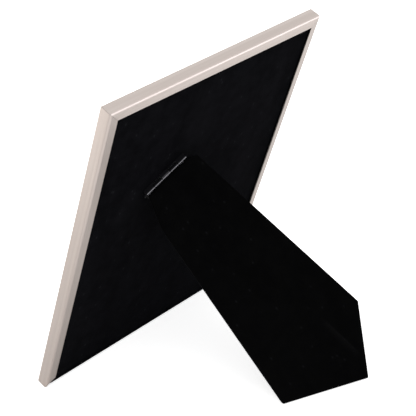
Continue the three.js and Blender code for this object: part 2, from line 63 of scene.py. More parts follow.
# The velvet is folded double round the panel's bottom edge, between the two rails.
HEM_RADIUS = 0.45
HEM_RISE = 0.48
HEM_TOP = 4.9
HEM_FULL = 3.4
HEM_STEPS = 6
HEM_WHOLE_TO = 64.5
HEM_NOTHING_FROM = 65.3

# The leg, in millimetres from the hinge's axis.
LEG_INNER = -0.6
LEG_OUTER = 1.8
LEG_EDGE_RADIUS = 0.35
LEG_CORNER_RADIUS = 0.7
LEG_CORNER_STEPS = 4
LEG_FACING_INSET = 0.5

# The rivets that the velvet has holes for, in millimetres from the hinge's axis. The mesh round a hole
# is drawn in to its rim from as far as the reach, in hole radii.
RIVET_CLEARANCE = 0.9
RIVET_RIM_REACH = 2.2
BOARD_RIVETS = ((-10.0, -5.4), (10.0, -5.4))
LEG_RIVETS = ((-4.0, -13.0), (4.0, -13.0))

# Spacing of the velvet's mesh, and how far its surface wanders: in broad and in near waves,
# with a seed for each sheet.
VELVET_CELL = 1.6
VELVET_WANDER = 0.03
BROAD_WAVE = 23
NEAR_WAVE = 5
BROAD_SHARE = 0.7
NEAR_SHARE = 0.5
NEAR_SEED = 7
PANEL_SEED = 0.0
LEG_COVER_SEED = 3.0
LEG_FACING_SEED = 11.0
EDGE_STEPS = 5

# Two places nearer to each other than these, in millimetres, count as one.
ON_SIDE = 0.03
MERGED = 0.02
SAME_CORNER = 0.01
ON_PLANE = 0.0001
ON_END_FACE = 0.01
SAME_SOLDER_CORNER = 0.001

# The bright steel strip along the hinge barrel, set in its black finish, is a painted highlight on the
# crest: its middle, from the crest towards the board's top, half its width, and the heights above the axis
# between which it sets in.
# It fades from a share of its half width on.
HIGHLIGHT_STRIP_MIDDLE = 0.25
HIGHLIGHT_STRIP_HALF_WIDTH = 0.56
HIGHLIGHT_STRIP_WHOLE_SHARE = 0.7
HIGHLIGHT_STRIP_HEIGHTS = (0.35, 0.6)

# The middle knuckle is a little bright all over, a painted highlight, and fades towards its ends in the
# same way.
KNUCKLE_HALF_LENGTH = 2.4
KNUCKLE_WHOLE_SHARE = 0.9
KNUCKLE_HEIGHTS = (-0.3, 0.1)
KNUCKLE_PAINTED_HIGHLIGHT = 0.2

# A paler streak in the leg's pile near the foot, a painted highlight, in millimetres from the hinge's axis
# on the open leg.
# It runs down the leg from its start to its end, sharp on the side towards +x and soft on the other.
MARK_START = (12.4, -112.5)
MARK_END = (14.1, -131.5)
MARK_SHARP_SIDE = 0.7
MARK_SOFT_SIDE = 4.0
MARK_END_FADE = 6.0
PAINTED_STREAK_COLOUR = (0.0032, 0.0032, 0.0034)

# Solder in the mitre seams, in millimetres: how thick, and how far it lies from the rail's end.
SOLDER_THICKNESS = 0.12
SOLDER_GAP = 0.045

# The photograph's camera, in millimetres in the frame's own axes as seen from behind. It shows what lies
# between the clip distances, in metres.
CAMERA_PLACE = (-392.05, 547.171, 269.622)
CAMERA_RIGHT = (0.687473, 0.224343, 0.690688)
CAMERA_UP = (0.38842, 0.690021, -0.610739)
CAMERA_FOCAL_PIXELS = 1353.9
PICTURE_PIXELS = 416
SENSOR_WIDTH = 36.0
CLIP_START = 0.02
CLIP_END = 50.0

# Texture scales, in waves per metre: along the grain, across it, and out of the surface.
FINE_SCRATCHES = (60, 9000, 9000)
COARSE_SCRATCHES = (25, 1800, 1800)
BROAD_STREAKS = (9, 520, 520)
METAL_CLOUDS = (45, 45, 45)
FIBRES = (2600, 5200, 5200)
BRUSHED_NAP = (16, 55, 55)
LINT_CELLS = (120, 210, 210)
EVEN = (1, 1, 1)

# Texture scales that are the same every way, in waves per metre.
STEEL_MOTTLE = 900.0
STEEL_GRAIN = 5200.0
FIBRE_CLUMPS = 3400.0
VELVET_MOTTLE = 150.0
BOARD_PULP = 1400.0
BOARD_FLECKS = 700.0
PAPER_CLOUD = 60.0
PAPER_FIBRE = 2500.0
GLASS_WIPES = 40.0

# Levels of a pattern between which its effect sets in. Noise lies about 0.5. The sizes of lint and flecks
# are distances from the middle of a cell.
TONE_LEVELS = (0.3, 0.7)
PATCH_LEVELS = (0.35, 0.7)
STREAK_LEVELS = (0.35, 0.65)
GLOSS_LEVELS = (0.25, 0.75)
WIPE_LEVELS = (0.35, 0.75)
HIGHLIGHT_MOTTLE_LEVELS = (0.2, 0.5)
NAP_LEVELS = (0.41, 0.60)
LINT_SIZES = (0.02, 0.13)
LINT_LEVELS = (0.57, 0.62)
FLECK_SIZES = (0.03, 0.10)

# The share of the second pattern where two are added, and how strongly patches show.
COARSE_SHARE = 0.45
FIBRE_SHARE = 0.4
MOTTLE_SHARE = 0.5
CLOUD_STRENGTH = 0.35
STREAK_STRENGTH = 0.65
FLECK_STRENGTH = 0.5
LEAST_HIGHLIGHT = 0.7

# Depths of the surfaces' relief, in millimetres.
SCRATCH_DEPTH = 0.02
STEEL_DEPTH = 0.01
PILE_DEPTH = 0.10
PILE_STRENGTH = 0.7
BOARD_DEPTH = 0.03
PAPER_DEPTH = 0.008

# Roughness. Two in brackets are for the low and the high places of a pattern, or for the hinge's black
# finish and for the bright strip of its painted highlight.
CHAMPAGNE_ROUGHNESS = (0.42, 0.30)
ZINC_ROUGHNESS = (0.30, 0.42)
HINGE_ROUGHNESS = (0.6, 0.25)
PILE_ROUGHNESS = 0.95
BOARD_ROUGHNESS = 0.88
BLACK_PAPER_ROUGHNESS = 0.75
PHOTO_PAPER_ROUGHNESS = 0.38
GLASS_ROUGHNESS = (0.0, 0.03)
GLASS_IOR = 1.52

# Colours. Two in brackets are the darker and the paler one that a finish varies between.
CHAMPAGNE = (0.60, 0.535, 0.498)
CHAMPAGNE_PALE = (0.65, 0.582, 0.546)
CHAMPAGNE_CLOUD = (0.585, 0.512, 0.47)
CHAMPAGNE_STREAK = (0.545, 0.478, 0.442)
ZINC = ((0.30, 0.29, 0.33), (0.43, 0.42, 0.46))
BLACK_FINISH = (0.004, 0.004, 0.005)
# The bright steel of the hinge's painted highlight strip.
PAINTED_HIGHLIGHT_STEEL = (0.26, 0.255, 0.275)
# The board's pile is paler and bluer than the leg's, though both are the same black velvet: the difference
# is painted sheen.
BOARD_PILE_AND_SHEEN = ((0.0013, 0.0013, 0.0018), (0.0036, 0.0036, 0.0046))
BOARD_LINT = 0.20
LEG_PILE = ((0.0010, 0.0010, 0.0011), (0.0017, 0.0017, 0.0018))
LEG_LINT = 0.07
LINT_COLOUR = (0.05, 0.052, 0.058)
SHEEN_TINT = (0.80, 0.84, 1.0, 1.0)
HARDBOARD = ((0.17, 0.115, 0.07), (0.27, 0.19, 0.12))
GREY_CARD = ((0.27, 0.255, 0.225), (0.38, 0.36, 0.32))
FLECK_SHADE = 0.4
BLACK_PAPER = ((0.012, 0.012, 0.012), (0.02, 0.02, 0.02))
PHOTO_PAPER = ((0.80, 0.79, 0.76), (0.76, 0.75, 0.72))
GLASS_TINT = (0.965, 0.99, 0.98, 1.0)

# The floor: its colour, what it glows for the camera and in metal and glass, and how far in front of
# the frame and behind it the second glow fades in, in metres: near the frame's foot the floor is darker in
# metal and glass, a painted shade. The sky: its light, and how bright it is seen.
FLOOR_REACH = 4.0
FLOOR_COLOUR = 0.82
FLOOR_GLOW = 0.72
FLOOR_GLOW_IN_METAL = 0.40
FLOOR_PAINTED_SHADE_IN_FRONT = 0.30
FLOOR_PAINTED_SHADE_BEHIND = 0.18
SKY = 0.55
SKY_SEEN = 1.0
WHITE = (1.0, 1.0, 1.0, 1.0)

# The lamps: name, place and target in the row frame, width and height in metres, power in watts, colour.
LAMPS = (
    ("key", (0.5, 0.9, 1.5), (0, 0, 0.08), (1.2, 1.2), 11, (1.0, 1.0, 1.0)),
    ("side", (-1.13, 1.3, 0.42), (0, 0, 0.08), (1.1, 1.3), 6.4, (0.93, 0.93, 1.0)),
    ("front", (0.65, -0.75, 0.55), (0.5, -0.5, 0.0), (0.4, 0.4), 3.3, (1.0, 0.9, 0.8)),
    ("right", (-0.45, -0.75, 0.35), (-0.2, 0.0, 0.0), (0.3, 0.3), 1.9, (1.0, 1.0, 1.0)),
)


def axes_matrix(origin, x, y, z):
    """A matrix from its own axes to the row frame."""
    return Matrix.Translation(origin) @ Matrix((x, y, z)).transposed().to_4x4()


def joint_named(name):
    return next(joint for joint in frame["joints"] if joint["name"] == name)


def rear_axes():
    """The frame as seen from behind, in metres: x right, y up its back, z out from its front face."""
    right = Vector((-1, 0, 0))
    up = -Vector(joint_named("panel_slide")["axis"]).normalized()
    back = right.cross(up)
    points = [vertex.co for vertex in nodes["glass_pane"].data.vertices]
    spans = [[p.dot(axis) for p in points] for axis in (right, up)]
    across, along = [(min(span) + max(span)) / 2 for span in spans]
    depth = min(p.dot(back) for p in points)
    origin = right * across + up * (along - GLASS_MIDDLE * MM) + back * (depth - GLASS_FRONT * MM)
    return axes_matrix(origin, right, up, back)


REAR = rear_axes()
RIGHT, UP = (REAR.col[i].to_3d() for i in range(2))


def hinge_axes():
    """The closed hinge and the open leg: x along the pin, y up the leg, z out of the back."""
    hinge = joint_named("leg_hinge")
    along = Vector(hinge["axis"]).normalized()
    out = REAR.col[2].to_3d()
    closed = axes_matrix(Vector(hinge["pos_m"]), along, out.cross(along), out)
    opening = math.radians(hinge["range_deg"][1])
    return closed, closed @ Matrix.Rotation(-opening, 4, "X")


HINGE, LEG = hinge_axes()


class Shader:
    """A material's nodes, made by short calls. An input that is a socket is linked, any other is set."""

    def __init__(self, name):
        self.material = bpy.data.materials.new(name)
        self.material.use_nodes = True
        self.tree = self.material.node_tree
        self.tree.nodes.clear()

    @classmethod
    def on(cls, tree):
        """The same calls on a node tree that is there already."""
        shader = cls.__new__(cls)
        shader.tree = tree
        tree.nodes.clear()
        return shader

    def add(self, kind, inputs=None, **settings):
        node = self.tree.nodes.new("ShaderNode" + kind)
        for key, value in settings.items():
            setattr(node, key, value)
        for key, value in (inputs or {}).items():
            if isinstance(value, bpy.types.NodeSocket):
                self.tree.links.new(value, node.inputs[key])
            else:
                node.inputs[key].default_value = value
        return node

    def here(self):
        """The object's own coordinates."""
        return self.add("TexCoord").outputs["Object"]

    def along(self, place, axis):
        """How far a place lies along an axis."""
        return self.add("VectorMath", {0: place, 1: axis}, operation="DOT_PRODUCT").outputs["Value"]

    def place(self, axes, scale):
        """The object's own coordinates along three axes, each multiplied by its scale."""
        raw = self.here()
        parts = {letter: self.along(raw, axis * factor) for letter, axis, factor in zip("XYZ", axes, scale)}
        return self.add("CombineXYZ", parts).outputs["Vector"]

    def within(self, matrix):
        """The object's own coordinates in a matrix's axes, as three values in metres."""
        inputs = {0: self.here(), 1: matrix.translation}
        offset = self.add("VectorMath", inputs, operation="SUBTRACT").outputs["Vector"]
        return [self.along(offset, matrix.col[i].to_3d()) for i in range(3)]

    def noise(self, place, scale=1.0, detail=3.0, roughness=0.5, distortion=0.0):
        inputs = {"Vector": place, "Scale": scale, "Detail": detail, "Roughness": roughness}
        inputs["Distortion"] = distortion
        return self.add("TexNoise", inputs).outputs["Fac"]

    def cells(self, place, scale=1.0, dimensions="3D"):
        inputs = {"Vector": place, "Scale": scale}
        return self.add("TexVoronoi", inputs, voronoi_dimensions=dimensions).outputs["Distance"]

    def between(self, value, low, high, out_low=0.0, out_high=1.0):
        """A value stretched from low..high to out_low..out_high, and held inside."""
        inputs = {"Value": value, "From Min": low, "From Max": high, "To Min": out_low, "To Max": out_high}
        return self.add("MapRange", inputs, clamp=True).outputs["Result"]

    def calculate(self, operation, first, second=0.0):
        return self.add("Math", {0: first, 1: second}, operation=operation).outputs["Value"]

    def plus(self, first, second):
        return self.calculate("ADD", first, second)

    def minus(self, first, second):
        return self.calculate("SUBTRACT", first, second)

    def times(self, first, second):
        return self.calculate("MULTIPLY", first, second)

    def larger(self, first, second):
        return self.calculate("MAXIMUM", first, second)

    def magnitude(self, value):
        return self.calculate("ABSOLUTE", value)

    def weighed(self, first, second, second_share):
        """Two values added by their shares, which make one together."""
        return self.plus(self.times(first, 1 - second_share), self.times(second, second_share))

    def mix(self, share, first, second):
        """A colour between two, by share. The node's sockets go by number, because their names repeat."""
        node = self.add("Mix", data_type="RGBA")
        for socket, value in ((0, share), (6, first), (7, second)):
            if isinstance(value, bpy.types.NodeSocket):
                self.tree.links.new(value, node.inputs[socket])
            else:
                node.inputs[socket].default_value = (*value, 1.0)
        return node.outputs[2]

    def bump(self, height, depth, strength=1.0):
        """A normal from a height, whose relief is so many millimetres deep."""
        inputs = {"Height": height, "Distance": depth * MM, "Strength": strength}
        return self.add("Bump", inputs).outputs["Normal"]

    def surface(self, shader):
        self.tree.links.new(shader, self.add("OutputMaterial").inputs["Surface"])
        return self.material

    def principled(self, **inputs):
        named = {key.replace("_", " "): value for key, value in inputs.items()}
        return self.surface(self.add("BsdfPrincipled", named).outputs["BSDF"])


def brushed_metal(name, along, across):
    """Champagne metal with fine scratches along the rail."""
    s = Shader(name)
    axes = (along, across, along.cross(across))
    fine = s.noise(s.place(axes, FINE_SCRATCHES), detail=2.0, roughness=0.6)
    coarse = s.noise(s.place(axes, COARSE_SCRATCHES), detail=2.0)
    broad = s.noise(s.place(axes, BROAD_STREAKS), detail=2.0)
    cloud = s.noise(s.place(axes, METAL_CLOUDS), roughness=0.55)
    scratches = s.weighed(fine, coarse, COARSE_SHARE)
    colour = s.mix(s.between(scratches, *TONE_LEVELS), CHAMPAGNE, CHAMPAGNE_PALE)
    colour = s.mix(s.between(cloud, *PATCH_LEVELS, 0.0, CLOUD_STRENGTH), colour, CHAMPAGNE_CLOUD)
    colour = s.mix(s.between(broad, *STREAK_LEVELS, 0.0, STREAK_STRENGTH), colour, CHAMPAGNE_STREAK)
    rough = s.between(scratches, *GLOSS_LEVELS, *CHAMPAGNE_ROUGHNESS)
    normal = s.bump(scratches, SCRATCH_DEPTH)
    return s.principled(Base_Color=colour, Metallic=1.0, Roughness=rough, Normal=normal)


def zinc_steel(name):
    """Plain bright-plated steel with faint mottling, for what lies inside."""
    s = Shader(name)
    mottle = s.noise(s.here(), STEEL_MOTTLE, detail=4.0, roughness=0.6)
    grain = s.noise(s.here(), STEEL_GRAIN, detail=2.0)
    colour = s.mix(s.between(mottle, *PATCH_LEVELS), *ZINC)
    rough = s.between(mottle, *TONE_LEVELS, *ZINC_ROUGHNESS)
    return s.principled(Base_Color=colour, Metallic=1.0, Roughness=rough, Normal=s.bump(grain, STEEL_DEPTH))


def painted_barrel_highlight(s, mottle):
    """How much of the painted highlight on the hinge there is at a place, 0 to 1."""
    along, side, out = s.within(HINGE)
    from_middle = s.magnitude(s.minus(side, HIGHLIGHT_STRIP_MIDDLE * MM))
    whole = HIGHLIGHT_STRIP_WHOLE_SHARE * HIGHLIGHT_STRIP_HALF_WIDTH * MM
    strip = s.between(from_middle, whole, HIGHLIGHT_STRIP_HALF_WIDTH * MM, 1.0, 0.0)
    strip = s.times(strip, s.between(out, *(height * MM for height in HIGHLIGHT_STRIP_HEIGHTS)))
    # The middle knuckle's faint painted highlight.
    whole = KNUCKLE_WHOLE_SHARE * KNUCKLE_HALF_LENGTH * MM
    knuckle = s.between(s.magnitude(along), whole, KNUCKLE_HALF_LENGTH * MM, KNUCKLE_PAINTED_HIGHLIGHT, 0.0)
    knuckle = s.times(knuckle, s.between(out, *(height * MM for height in KNUCKLE_HEIGHTS)))
    return s.times(s.larger(strip, knuckle), s.between(mottle, *HIGHLIGHT_MOTTLE_LEVELS, LEAST_HIGHLIGHT, 1.0))


def blackened_steel(name):
    """The hinge's black finish, with a bright steel strip along the barrel that is a painted highlight."""
    s = Shader(name)
    mottle = s.noise(s.here(), STEEL_MOTTLE, detail=4.0, roughness=0.6)
    grain = s.noise(s.here(), STEEL_GRAIN, detail=2.0)
    painted_highlight = painted_barrel_highlight(s, mottle)
    return s.principled(
        Base_Color=s.mix(painted_highlight, BLACK_FINISH, PAINTED_HIGHLIGHT_STEEL),
        Metallic=painted_highlight,
        Roughness=s.between(painted_highlight, 0.0, 1.0, *HINGE_ROUGHNESS),
        Normal=s.bump(grain, STEEL_DEPTH),
        Specular_IOR_Level=0.06,
    )


def painted_highlight_streak(s):
    """How much of the painted highlight streak there is at a place on the open leg, 0 to 1."""
    side, up, _ = s.within(LEG)
    (start_side, start_up), (end_side, end_up) = MARK_START, MARK_END
    slope = (end_side - start_side) / (end_up - start_up)
    line = s.plus(s.times(up, slope), (start_side - slope * start_up) * MM)
    from_line = s.minus(side, line)
    soft = s.between(from_line, -MARK_SOFT_SIDE * MM, 0.0)
    sharp = s.between(from_line, -MARK_SHARP_SIDE * MM, 0.0, 1.0, 0.0)
    begun = s.between(up, start_up * MM, (start_up + MARK_END_FADE) * MM, 1.0, 0.0)
    not_over = s.between(up, (end_up - MARK_END_FADE) * MM, end_up * MM)
    return s.times(s.times(soft, sharp), s.times(begun, not_over))


def velvet(name, along, across, pile, lint_share, with_painted_streak=False):
    """Short black pile: clumps at the scale of the fibres, brushed patches, and a few specks of lint."""
    s = Shader(name)
    axes = (along, across, along.cross(across))
    even = s.place(axes, EVEN)
    fibres = s.noise(s.place(axes, FIBRES), roughness=0.65)
    height = s.weighed(s.cells(even, FIBRE_CLUMPS), fibres, FIBRE_SHARE)
    nap = s.noise(s.place(axes, BRUSHED_NAP), detail=4.0, roughness=0.6, distortion=0.4)
    mottle = s.noise(even, VELVET_MOTTLE, roughness=0.65)
    colour = s.mix(s.between(s.weighed(nap, mottle, MOTTLE_SHARE), *NAP_LEVELS), *pile)
    # On the leg, a paler streak near the foot: a painted highlight.
    if with_painted_streak:
        colour = s.mix(painted_highlight_streak(s), colour, PAINTED_STREAK_COLOUR)
    specks = s.between(s.cells(s.place(axes, LINT_CELLS), dimensions="2D"), *LINT_SIZES, 1.0, 0.0)
    chosen = s.between(s.noise(even, VELVET_MOTTLE, detail=1.0), *LINT_LEVELS)
    lint = s.times(s.times(specks, chosen), lint_share)
    return s.principled(
        Base_Color=s.mix(lint, colour, LINT_COLOUR),
        Roughness=PILE_ROUGHNESS,
        Normal=s.bump(height, PILE_DEPTH, PILE_STRENGTH),
        Specular_IOR_Level=0.02,
        Sheen_Weight=0.005,
        Sheen_Roughness=0.45,
        Sheen_Tint=SHEEN_TINT,
    )


def board_stock(name, dark, pale):
    """Pressed board: grey-brown pulp with flecks."""
    s = Shader(name)
    pulp = s.noise(s.here(), BOARD_PULP, detail=5.0, roughness=0.65)
    flecks = s.between(s.cells(s.here(), BOARD_FLECKS), *FLECK_SIZES, FLECK_STRENGTH, 0.0)
    colour = s.mix(s.between(pulp, *TONE_LEVELS), dark, pale)
    colour = s.mix(flecks, colour, tuple(FLECK_SHADE * part for part in dark))
    normal = s.bump(pulp, BOARD_DEPTH)
    return s.principled(
        Base_Color=colour, Roughness=BOARD_ROUGHNESS, Normal=normal, Specular_IOR_Level=0.25,
    )


def paper_stock(name, colour, shade, roughness):
    """Smooth paper with a faint fibre cloud."""
    s = Shader(name)
    cloud = s.noise(s.here(), PAPER_CLOUD, detail=4.0, roughness=0.55)
    fibre = s.noise(s.here(), PAPER_FIBRE, detail=4.0, roughness=0.6)
    tone = s.mix(s.between(cloud, *TONE_LEVELS), colour, shade)
    normal = s.bump(fibre, PAPER_DEPTH)
    return s.principled(Base_Color=tone, Roughness=roughness, Normal=normal, Specular_IOR_Level=0.4)


def clear_glass(name):
    """Plain float glass, faintly green, with wiping marks."""
    s = Shader(name)
    wipes = s.noise(s.here(), GLASS_WIPES, detail=4.0, roughness=0.6)
    rough = s.between(wipes, *WIPE_LEVELS, *GLASS_ROUGHNESS)
    return s.principled(Base_Color=GLASS_TINT, Roughness=rough, IOR=GLASS_IOR, Transmission_Weight=1.0)


def finish_nodes(material, *names):
    """Gives nodes a material in place of their own."""
    for name in names:
        materials = nodes[name].data.materials
        materials.clear()
        materials.append(material)


def finish_cad_nodes():
    """Finishes for the pieces that show the model's own meshes."""
    finish_nodes(brushed_metal("champagne_upright", UP, RIGHT), "left_rail", "right_rail")
    finish_nodes(brushed_metal("champagne_level", RIGHT, UP), "top_rail", "bottom_rail")
    plated = ("corner_angle", "board_rivet", "leg_rivet")
    finish_nodes(zinc_steel("zinc_steel"), *(name for name in nodes if name.startswith(plated)))
    hinge = ("hinge_board_leaf", "hinge_leg_leaf", "hinge_pin")
    finish_nodes(blackened_steel("blackened_steel"), *hinge)
    finish_nodes(board_stock("hardboard", *HARDBOARD), "panel_board", "leg_board")
    finish_nodes(board_stock("grey_card", *GREY_CARD), "filler_card")
    finish_nodes(paper_stock("black_paper", *BLACK_PAPER, BLACK_PAPER_ROUGHNESS), "panel_lining")
    finish_nodes(paper_stock("photo_paper", *PHOTO_PAPER, PHOTO_PAPER_ROUGHNESS), "photo_insert")
    finish_nodes(clear_glass("clear_glass"), "glass_pane")


def object_in_scene(bm, name, smooth):
    """An object whose mesh is drawn in the row frame."""
    mesh = bpy.data.meshes.new(name)
    bm.to_mesh(mesh)
    bm.free()
    for polygon in mesh.polygons:
        polygon.use_smooth = smooth
    piece = bpy.data.objects.new(name, mesh)
    bpy.context.scene.collection.objects.link(piece)
    return piece


def object_from(bm, name, matrix, outward=1):
    """The same for a mesh drawn in a matrix's axes. Its faces are turned to look mostly along outward z."""
    bmesh.ops.recalc_face_normals(bm, faces=bm.faces)
    if sum(face.normal.z * face.calc_area() for face in bm.faces) * outward < 0:
        bmesh.ops.reverse_faces(bm, faces=bm.faces)
    bm.transform(matrix)
    return object_in_scene(bm, name, smooth=True)


def in_metres(bm):
    bmesh.ops.scale(bm, vec=(MM, MM, MM), verts=bm.verts)


def thicken(piece, thickness, offset=-1):
    """Gives a sheet its thickness: inwards from the face that shows, or outwards with an offset of 1."""
    solid = piece.modifiers.new("thickness", "SOLIDIFY")
    solid.thickness = thickness * MM
    solid.offset = offset
    solid.use_even_offset = True
    return piece


def make_solder(name, rail, side, rise):
    """Solder in the seam at one end of a rail, in the shape of the rail's end face."""
    toward = (REAR.to_3x3() @ Vector((side, rise, 0))).normalized()
    bm = bmesh.new()
    bm.from_mesh(nodes[rail].data)
    end = max(vertex.co.dot(toward) for vertex in bm.verts) - ON_END_FACE * MM
    elsewhere = [face for face in bm.faces if any(vertex.co.dot(toward) < end for vertex in face.verts)]
    bmesh.ops.delete(bm, geom=elsewhere, context="FACES")
    bmesh.ops.remove_doubles(bm, verts=bm.verts, dist=SAME_SOLDER_CORNER * MM)
    bmesh.ops.translate(bm, verts=bm.verts, vec=toward * SOLDER_GAP * MM)
    solder = thicken(object_in_scene(bm, name, smooth=False), SOLDER_THICKNESS, offset=1)
    solder.data.materials.append(nodes[rail].data.materials[0])
    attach(solder, "surround")


def wander(place, seed):
    """How far the velvet stands off at a place, in millimetres."""
    broad = noise.noise(Vector((place[0] / BROAD_WAVE, place[1] / BROAD_WAVE, seed)))
    near = noise.noise(Vector((place[0] / NEAR_WAVE, place[1] / NEAR_WAVE, seed + NEAR_SEED)))
    return VELVET_WANDER * (BROAD_SHARE * broad + NEAR_SHARE * near)


def without_holes(bm, holes, radius):
    """Takes out the faces over each rivet, and rounds what is left to the hole."""
    for x, y in holes:
        centre = Vector((x, y))
        gone = [face for face in bm.faces if (face.calc_center_median().to_2d() - centre).length < radius]
        bmesh.ops.delete(bm, geom=gone, context="FACES")
        for vertex in bm.verts:
            offset = vertex.co.to_2d() - centre
            if vertex.is_boundary and 0 < offset.length < RIVET_RIM_REACH * radius:
                vertex.co.x, vertex.co.y = centre + offset.normalized() * radius


def middle_of(points):
    return sum(points, Vector((0, 0))) / len(points)


def sides_of(points):
    """Each side of a convex outline: its start, its direction, its normal outwards and its length."""
    middle = middle_of(points)
    sides = []
    for i, point in enumerate(points):
        whole = points[(i + 1) % len(points)] - point
        direction = whole.normalized()
        normal = Vector((direction.y, -direction.x))
        if normal.dot(middle - point) > 0:
            normal = -normal
        sides.append((point, direction, normal, whole.length))
    return sides


def rounded(corners, radius, steps):
    """A convex outline with each of its corners turned into a short arc."""
    points = []
    for i, corner in enumerate(corners):
        before = (corners[i - 1] - corner).normalized()
        after = (corners[(i + 1) % len(corners)] - corner).normalized()
        half = before.angle(after) / 2
        centre = corner + (before + after).normalized() * (radius / math.sin(half))
        start = corner + before * (radius / math.tan(half)) - centre
        end = corner + after * (radius / math.tan(half)) - centre
        for step in range(steps + 1):
            points.append(centre + start.lerp(end, step / steps).normalized() * radius)
    return points


def inset(points, distance):
    """A convex outline with every side moved inwards."""
    lines = [(normal, normal.dot(point) - distance) for point, _, normal, _ in sides_of(points)]
    moved = []
    for i in range(len(points)):
        (first, c), (second, d) = lines[i - 1], lines[i]
        scale = first.x * second.y - first.y * second.x
        x = (c * second.y - d * first.y) / scale
        y = (first.x * d - second.x * c) / scale
        moved.append(Vector((x, y)))
    return moved


def clipped_grid(outline, cell):
    """A grid of square cells in the plane, cut along a convex outline."""
    low = [min(p[i] for p in outline) for i in range(2)]
    high = [max(p[i] for p in outline) for i in range(2)]
    counts = [math.ceil((high[i] - low[i]) / cell) for i in range(2)]
    bm = bmesh.new()
    # The grid is made one unit across, which size gives by its half, and then stretched to whole cells.
    bmesh.ops.create_grid(bm, x_segments=counts[0], y_segments=counts[1], size=0.5)
    for vertex in bm.verts:
        for i in range(2):
            vertex.co[i] = (low[i] + high[i]) / 2 + vertex.co[i] * counts[i] * cell
    for point, _, normal, length in sides_of(outline):
        bmesh.ops.bisect_plane(
            bm,
            geom=bm.verts[:] + bm.edges[:] + bm.faces[:],
            dist=ON_PLANE,
            plane_co=(*point, 0),
            plane_no=(*(normal * length), 0),
            clear_outer=True,
        )
    bmesh.ops.remove_doubles(bm, verts=bm.verts, dist=MERGED)
    return bm


def leg_outline():
    """The corners of the leg's cover, read from its node, in the leg's own axes in millimetres."""
    inverse = LEG.inverted()
    points = [inverse @ vertex.co / MM for vertex in nodes["leg_velvet_outer"].data.vertices]
    top = max(p.z for p in points) - SAME_CORNER
    corners = []
    for p in points:
        flat = p.to_2d()
        if p.z > top and all((flat - other).length > SAME_CORNER for other in corners):
            corners.append(flat)
    middle = middle_of(corners)
    return sorted(corners, key=lambda p: math.atan2(p.y - middle.y, p.x - middle.x))


def outward_shift(place, sides):
    """Which way the edge grows at a place of the outline: out from its side, or from both at a corner."""
    touching = []
    for point, direction, normal, length in sides:
        along = (place - point).dot(direction)
        if abs((place - point).dot(normal)) < ON_SIDE and -ON_SIDE < along < length + ON_SIDE:
            touching.append(normal)
    shift = sum(touching, Vector((0, 0)))
    if shift.length > 0:
        shift = shift.normalized() / shift.normalized().dot(touching[0])
    return shift


def grow_edge(bm, outline, steps):
    """Draws the boundary on through rings. Each step is how far out from the outline, and how high."""
    sides = sides_of(outline)
    rim = [edge.verts[:] for edge in bm.edges if edge.is_boundary]
    places = {vertex: vertex.co.to_2d() for pair in rim for vertex in pair}
    last = {vertex: vertex for vertex in places}
    for out, height in steps:
        ring = {}
        for vertex, place in places.items():
            spot = place + outward_shift(place, sides) * out
            ring[vertex] = bm.verts.new((spot.x, spot.y, height))
        for a, b in rim:
            bm.faces.new((last[a], last[b], ring[b], ring[a]))
        last = ring


def make_leg_cover(outline, material):
    """Velvet over the leg's outer face, turned down round all its edges."""
    outer = rounded(outline, LEG_CORNER_RADIUS, LEG_CORNER_STEPS)
    start = inset(outer, LEG_EDGE_RADIUS)
    surface = LEG_OUTER - VELVET_WANDER
    bm = clipped_grid(start, VELVET_CELL)
    for vertex in bm.verts:
        vertex.co.z = surface + (0 if vertex.is_boundary else wander(vertex.co, LEG_COVER_SEED))
    steps = []
    for i in range(1, EDGE_STEPS + 1):
        angle = math.pi / 2 * i / EDGE_STEPS
        steps.append((LEG_EDGE_RADIUS * math.sin(angle), surface - LEG_EDGE_RADIUS * (1 - math.cos(angle))))
    steps.append((LEG_EDGE_RADIUS, LEG_INNER))
    grow_edge(bm, start, steps)
    in_metres(bm)
    cover = thicken(object_from(bm, "leg_cover", LEG), VELVET_THICKNESS)
    cover.data.materials.append(material)
    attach(cover, "leg")
    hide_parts("leg_velvet_outer")


def make_leg_facing(outline, material):
    """Velvet over the leg's inner face, inside the turned edge."""
    shape = rounded(inset(outline, LEG_FACING_INSET), LEG_CORNER_RADIUS, LEG_CORNER_STEPS)
    surface = LEG_INNER + VELVET_WANDER
    bm = clipped_grid(shape, VELVET_CELL)
    without_holes(bm, LEG_RIVETS, RIVET_CLEARANCE)
    for vertex in bm.verts:
        vertex.co.z = surface + (0 if vertex.is_boundary else wander(vertex.co, LEG_FACING_SEED))
    in_metres(bm)
    facing = thicken(object_from(bm, "leg_facing", LEG, outward=-1), VELVET_THICKNESS - 2 * VELVET_WANDER)
    facing.data.materials.append(material)
    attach(facing, "leg")
    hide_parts("leg_velvet_inner")


def hem_profile():
    """The panel cover's steps from its top to its turned bottom edge, and how many come before the hem.
    Each step is y, z and its share of the hem's rise."""
    back = PANEL_BACK - VELVET_WANDER
    rows = round((PANEL_TOP - HEM_TOP) / VELVET_CELL)
    profile = [(PANEL_TOP + (HEM_TOP - PANEL_TOP) * i / rows, back, 0.0) for i in range(rows + 1)]
    for i in range(1, HEM_STEPS + 1):
        share = i / HEM_STEPS
        rise = (1 - math.cos(math.pi * share)) / 2
        profile.append((HEM_TOP + (HEM_FULL - HEM_TOP) * share, back, rise))
    for i in range(EDGE_STEPS + 1):
        angle = math.pi / 2 * i / EDGE_STEPS
        y = PANEL_BOTTOM + HEM_RADIUS * (1 - math.sin(angle))
        profile.append((y, back - HEM_RADIUS * (1 - math.cos(angle)), 1.0))
    profile.append((PANEL_BOTTOM, PANEL_FRONT, 0.0))
    return profile, rows


